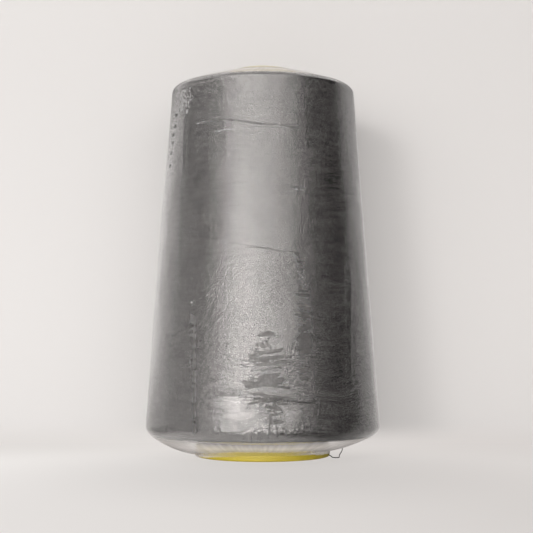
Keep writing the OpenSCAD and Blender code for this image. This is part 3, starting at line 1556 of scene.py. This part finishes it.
@dataclass(frozen=True)
class SoftPanel:
    """One upright panel of the softbox round the front of the cone. Sizes are in metres."""

    name: str
    bearing: float
    radiance: float = 4.4
    spread: float = 34.3
    distance: float = 0.8
    low: float = 0.03
    high: float = 0.5
    low_gain: float = 1.5
    lowest_gain: float = 0.3
    low_right: float = 0.12
    stretch: float = 0.93

    def hang(self) -> None:
        """Hangs the panel, facing the cone."""
        width = 2 * self.distance * math.tan(math.radians(self.spread / 2))
        tall = self.high - self.low
        lamp = area_lamp(self.name, "RECTANGLE", 4 * width * tall * self.radiance)
        lamp.data.size, lamp.data.size_y = width, tall
        self._shade(lamp.data)
        turn = math.radians(self.bearing)
        middle = (self.low + self.high) / 2
        lamp.location = (self.distance * math.sin(turn), -self.distance * math.cos(turn), middle)
        lamp.rotation_euler = (math.radians(90), 0.0, turn)

    def _shade(self, data: bpy.types.AreaLight) -> None:
        """Lets the panel's light fall off along the softbox.

        Args:
            data: the lamp's data.
        """
        data.use_nodes = True
        w = Wiring(data.node_tree)
        x, y, z = w.in_room()
        bearing = w.mul(w.bearing(x, y), w.span(z, 0.04, 0.42, 1.0, self.stretch))
        first, last = SOFTBOX_FALL[0][0], SOFTBOX_FALL[-1][0]
        ends = {0: bearing, 1: math.radians(first), 2: math.radians(last)}
        ramp = w.node("ValToRGB", {0: w.node("MapRange", ends).outputs[0]})
        stops = ramp.color_ramp.elements
        for at, level in SOFTBOX_FALL[1:-1]:
            stops.new((at - first) / (last - first)).color = (level, level, level, 1.0)
        for stop, (_, level) in zip((stops[0], stops[-1]), (SOFTBOX_FALL[0], SOFTBOX_FALL[-1])):
            stop.color = (level, level, level, 1.0)
        low = w.span(z, 0.04, 0.30, self.low_gain, 1.0)
        lowest = w.span(z, 0.08, 0.13, self.lowest_gain, 0.0)
        dimmed = w.mul(w.span(z, 0.10, 0.38, self.low_right, 0.0), w.sector(bearing, -10, 28))
        gain = w.mul(w.add(low, lowest), w.sub(1.0, dimmed))
        light = w.node("Emission", {"Strength": w.mul(ramp.outputs[0], gain)})
        w.finish(light.outputs[0], "Light")


@dataclass
class Studio:
    """The pale sweep, the softbox, the dim room and the camera.

    The eye and the backdrop's foot are in millimetres, and the other places in metres.
    """

    panels: tuple[SoftPanel, ...] = (
        SoftPanel("softbox_left", -44.8),
        SoftPanel("softbox_middle", -10.5),
        SoftPanel("softbox_right", 28.6, spread=44.0),
    )
    # One paper: its tones and albedos differ between backdrop, bend and floor, and lighten to the
    # left, as painted light and shade.
    paper_left: Colour = (0.92, 0.887, 0.864)
    paper_right: Colour = (0.77, 0.733, 0.711)
    bend_left: Colour = (0.765, 0.732, 0.707)
    bend_right: Colour = (0.69, 0.653, 0.630)
    floor_left: Colour = (0.88, 0.848, 0.823)
    floor_right: Colour = (0.71, 0.675, 0.652)
    backdrop_albedo: float = 0.545
    floor_albedo: float = 0.74
    backdrop_glow: float = 0.3
    floor_glow: float = 0.7
    # The floor glows for every ray but the camera's, as painted light off the floor: less at the
    # right and behind, with painted shade under the cone.
    floor_gleam: float = 2.6
    floor_gleam_right: float = 0.312
    floor_gleam_shade_under: float = 0.12
    floor_behind: float = 0.8
    floor_bounce: float = 0.66
    floor_bounce_behind: float = 0.165
    floor_reach: float = 3.0
    sky: Colour = (0.745, 0.715, 0.700)
    room_light: float = 0.3
    room_left: float = 1.5
    room_left_high: float = 1.0
    room_right: float = 0.8
    room_behind_left: float = 2.3
    room_behind: float = 1.08
    room_above: float = 3.2
    room_over_softbox: float = 4.0
    room_over_nose: float = 0.45
    key_at: tuple[float, float] = (-28.0, 16.0)
    key_distance: float = 2.2
    key_size: float = 0.5
    key_energy: float = 12.5
    lens: float = 75.65
    eye: tuple[float, float, float] = (1.2, -365.3, 35.6)
    eye_lift: float = 4.0
    backdrop_foot: float = 38.6
    backdrop_size: float = 0.4

    def place_camera(self) -> None:
        """Puts the camera in front of the cone, a little below its middle and looking up."""
        data = bpy.data.cameras.new("camera")
        data.lens = self.lens
        data.clip_start, data.clip_end = 0.02, 20.0
        camera = bpy.data.objects.new("camera", data)
        camera.location = Vector(self.eye) * MM
        camera.rotation_euler = (math.radians(90 + self.eye_lift), 0.0, 0.0)
        bpy.context.scene.collection.objects.link(camera)
        bpy.context.scene.camera = camera

    def build(self, groups: Groups) -> None:
        """Sets up the paper, the lamps and the room.

        Args:
            groups: the shader groups.
        """
        bpy.context.scene.view_settings.view_transform = "Standard"
        self._lay_floor(groups)
        self._hang_backdrop(groups)
        for panel in self.panels:
            panel.hang()
        self._hang_key()
        self._light_room()

    def _hang_key(self) -> None:
        """A lamp high up at the left, which lays the cone's soft shadow on the paper."""
        lamp = area_lamp("key_high_left", "DISK", self.key_energy)
        lamp.data.size = self.key_size
        turn, lift = (math.radians(angle) for angle in self.key_at)
        flat = math.cos(lift)
        way = Vector((math.sin(turn) * flat, -math.cos(turn) * flat, math.sin(lift)))
        lamp.location = way * self.key_distance
        lamp.rotation_euler = way.to_track_quat("Z", "Y").to_euler()
        lamp.visible_glossy = False
        lamp.visible_transmission = False

    def _sheet(
        self, name: str, corners: Sequence[tuple[float, float, float]], material: bpy.types.Material
    ) -> bpy.types.Object:
        """Makes a flat sheet of the stage.

        Args:
            name: the sheet's name.
            corners: its corners in metres.
            material: its finish.

        Returns:
            The sheet.
        """
        mesh = bpy.data.meshes.new(name)
        mesh.from_pydata(list(corners), [], [list(range(len(corners)))])
        mesh.materials.append(material)
        sheet = bpy.data.objects.new(name, mesh)
        bpy.context.scene.collection.objects.link(sheet)
        return sheet

    def _paper(
        self, w: Wiring, groups: Groups, tones: tuple[Colour, Colour], albedo: float, share: float
    ) -> Socket:
        """The paper: lit by the lamps, and for the camera partly of its own tone, which holds
        painted light and shade.

        Args:
            w: the material's wiring.
            groups: the shader groups.
            tones: the tone at the left and at the right, lighter at the left as painted light.
            albedo: how much of the lamps' light the paper gives back.
            share: how much of what the camera sees is the even tone.

        Returns:
            The shader.
        """
        even = placed(w, groups.paper)
        own = w.glow(w.blend(even["Fall"], *tones), even["Level"])
        bend = w.glow(w.blend(even["Fall"], self.bend_left, self.bend_right), 1.0)
        lit = w.node("BsdfDiffuse", {"Color": (albedo, albedo, albedo, 1.0)}).outputs[0]
        direct = w.direct()
        paper = w.over(w.mul(direct, share), lit, own)
        return w.over(w.mul(direct, even["Bend"]), paper, bend)

    def _lay_floor(self, groups: Groups) -> None:
        """Lays the surface that the cone stands on; to all but the camera it glows, as painted
        light.

        Args:
            groups: the shader groups.
        """
        material, w = surface("floor_paper")
        tones = (self.floor_left, self.floor_right)
        seen = self._paper(w, groups, tones, self.floor_albedo, self.floor_glow)
        x, y, _ = w.in_room()
        ahead = w.span(x, 0.0, 0.03, self.floor_gleam, self.floor_gleam_right)
        gleam = w.between(w.fade(y, -0.04, 0.0), ahead, self.floor_behind)
        # Painted shade: the floor's glow is far dimmer under the cone.
        under = w.span(w.length(x, y), 0.030, 0.0415, self.floor_gleam_shade_under, 1.0)
        bounce = w.span(y, -0.06, 0.02, self.floor_bounce, self.floor_bounce_behind)
        low_light = w.glow(LAMP_COLOUR, w.between(w.mirrored(), bounce, w.mul(gleam, under)))
        w.finish(w.over(w.direct(), low_light, seen))
        r = self.floor_reach
        self._sheet("floor", [(-r, -r, 0), (r, -r, 0), (r, r, 0), (-r, r, 0)], material)

    def _hang_backdrop(self, groups: Groups) -> None:
        """Hangs the sheet close behind the cone, which fades out to its edges and from behind.

        Args:
            groups: the shader groups.
        """
        material, w = surface("backdrop_paper")
        tones = (self.paper_left, self.paper_right)
        paper = self._paper(w, groups, tones, self.backdrop_albedo, self.backdrop_glow)
        place = w.node("NewGeometry").outputs
        x, _, z = w.xyz(place["Position"])
        shown = w.mul(w.fade(w.math("ABSOLUTE", x), 0.22, 0.12), w.fade(z, 0.32, 0.2))
        shown = w.mul(shown, w.sub(1.0, place["Backfacing"]))
        w.finish(w.over(shown, w.node("BsdfTransparent").outputs[0], paper))
        half, foot = self.backdrop_size, self.backdrop_foot * MM
        top = foot - half * math.tan(math.radians(self.eye_lift))
        corners = [(-half, foot, 0), (half, foot, 0), (half, top, half), (-half, top, half)]
        backdrop = self._sheet("backdrop", corners, material)
        backdrop.visible_shadow = False
        backdrop.visible_diffuse = False
        backdrop.visible_glossy = False

    def _light_room(self) -> None:
        """The room: pale to the camera and behind the cone, dim at both sides of the softbox."""
        world = bpy.data.worlds.new("room")
        world.use_nodes = True
        bpy.context.scene.world = world
        w = Wiring(world.node_tree)
        x, y, z = w.xyz(w.node("TexCoord").outputs["Generated"])
        bearing = w.bearing(x, y)
        left = w.span(z, 0.14, 0.3, self.room_left, self.room_left_high)
        right = w.span(bearing, math.radians(46), math.radians(88), self.room_right, 0.0)
        around = w.between(w.sector(bearing, -60, 20), left, right)
        at_nose = w.mul(w.fade(z, 0.16, 0.26), w.fade(z, 0.85, 0.6))
        # Each later part lies over the earlier ones.
        parts = (
            (w.mul(w.fade(z, 0.38, 0.43), w.sector(bearing, 50, 30)), self.room_over_softbox),
            (w.sector(bearing, -98, -116), self.room_behind_left),
            (
                w.math("MAXIMUM", w.sector(bearing, 102, 114), w.sector(bearing, -138, -168)),
                self.room_behind,
            ),
            (w.fade(z, 0.42, 0.62), self.room_above),
            (w.mul(w.sector(w.math("ABSOLUTE", bearing), 130, 155), at_nose), self.room_over_nose),
        )
        for share, level in parts:
            around = w.between(share, around, level)
        dim = w.between(w.mirrored(), self.room_light, around)
        strength = w.between(w.direct(), dim, 1.0)
        sky = w.node("Background", {"Color": (*self.sky, 1.0), "Strength": strength})
        w.finish(sky.outputs[0], "World")


# ---- The whole ----


# The rounded edges of the wound thread, which the film is pulled over as well.
PACKAGE_EDGES = (Roller(34.8, 9.7, 2.8), Roller(28.2, 117.5, 1.6))


def package_line() -> TautLine:
    """The outer line of the wound thread, from the cone round its foot and head to the cone."""
    return TautLine((Roller(20.5, 5.9), *PACKAGE_EDGES, Roller(12.7, 118.0)))


def film_line() -> TautLine:
    """The line that the film is pulled to, from the foot of the ring to the mouth at the nose.

    Returns:
        The line.
    """
    ring = (Roller(21.6, 0.0), Roller(22.6, 2.1, -1.0))
    nose = (Roller(10.7, 123.5, 1.5), Roller(9.8, 125.0))
    return TautLine((*ring, *PACKAGE_EDGES, *nose))


def main() -> None:
    """Builds the pieces in order and reports each."""
    logging.basicConfig(level=logging.INFO, format="%(name)s: %(message)s")
    studio = Studio()
    studio.place_camera()
    thread = ThreadFinish()
    package = ThreadPackage(thread, package_line())
    groups = Groups.built(package.pitch * MM)
    loose = LooseThread(thread)
    film = ShrinkFilm(
        {
            FilmZone.FOOT: GatheredFilmFinish("film_foot"),
            FilmZone.BODY: TautFilmFinish(),
            # The head's milky film is tinted darker than the foot's: painted shade.
            FilmZone.HEAD: GatheredFilmFinish("film_head", tint=(0.74, 0.72, 0.705), pleats=20.0),
        },
        film_line(),
    )
    pieces = [
        loose.build_tail(groups),
        PlasticCone(PlasticFinish()).dress(),
        package.build(groups),
        loose.build_turns(groups),
        film.build(groups),
    ]
    for piece in pieces:
        log.info("%s: %d faces", piece.name, len(piece.data.polygons))
    studio.build(groups)


if __name__ == "__main__":
    main()
